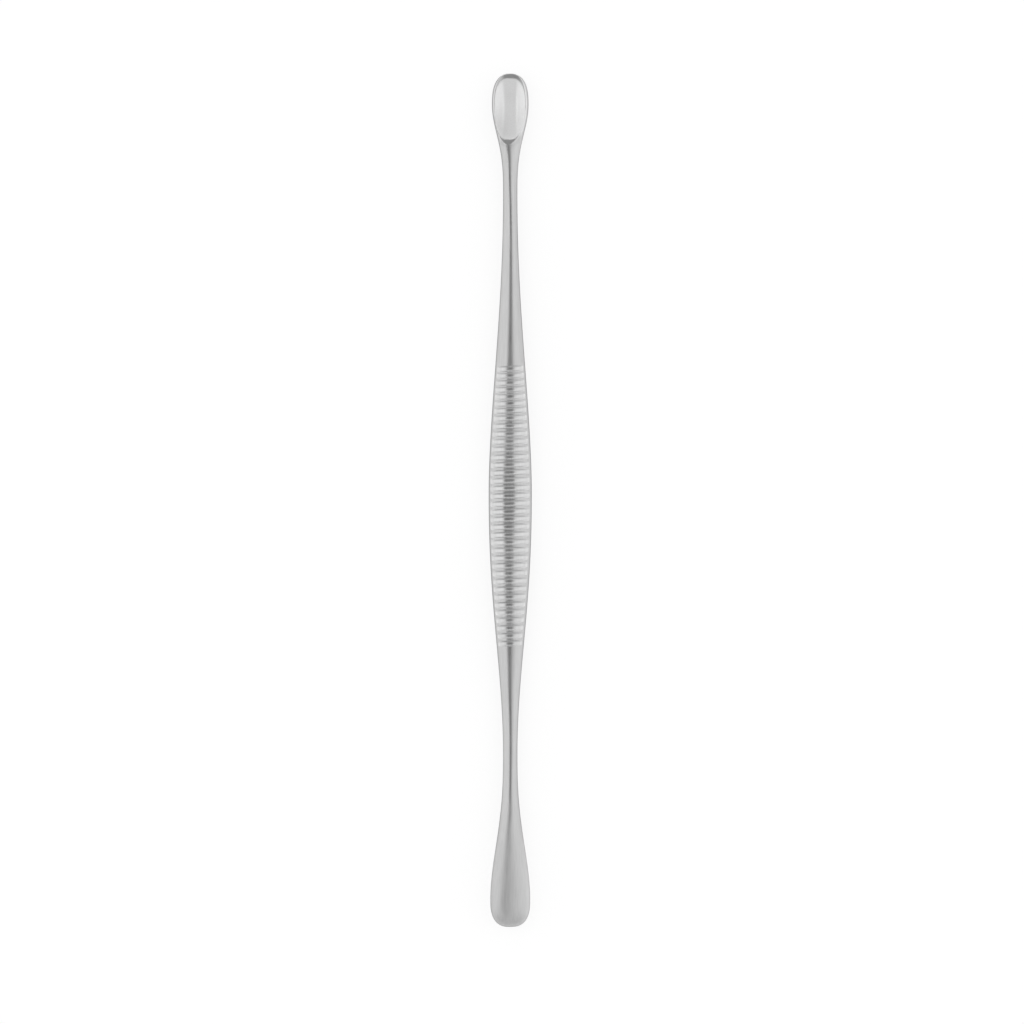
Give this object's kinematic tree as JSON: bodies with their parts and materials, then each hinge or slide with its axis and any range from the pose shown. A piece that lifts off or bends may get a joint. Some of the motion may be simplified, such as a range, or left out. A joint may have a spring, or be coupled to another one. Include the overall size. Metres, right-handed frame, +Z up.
{
  "type": "bone scoop",
  "caption": "Double-ended bone scoop in satin steel, with a small oval cup, a larger pear-shaped cup on the opposite face and a spindle grip with finger grooves across it.",
  "frame": {"origin": "centre of the bounding box at its lowest point, under the belly of the grip that the tool lies on", "axes": "+Y along the tool towards the small oval cup, +Z up, which is the way the oval cup opens, +X across the tool"},
  "size_m": [0.0074, 0.145, 0.0043],
  "materials": {
    "steel": "satin"
  },
  "bodies": {
    "root": {"scoop": "steel"}
  },
  "joints": []
}
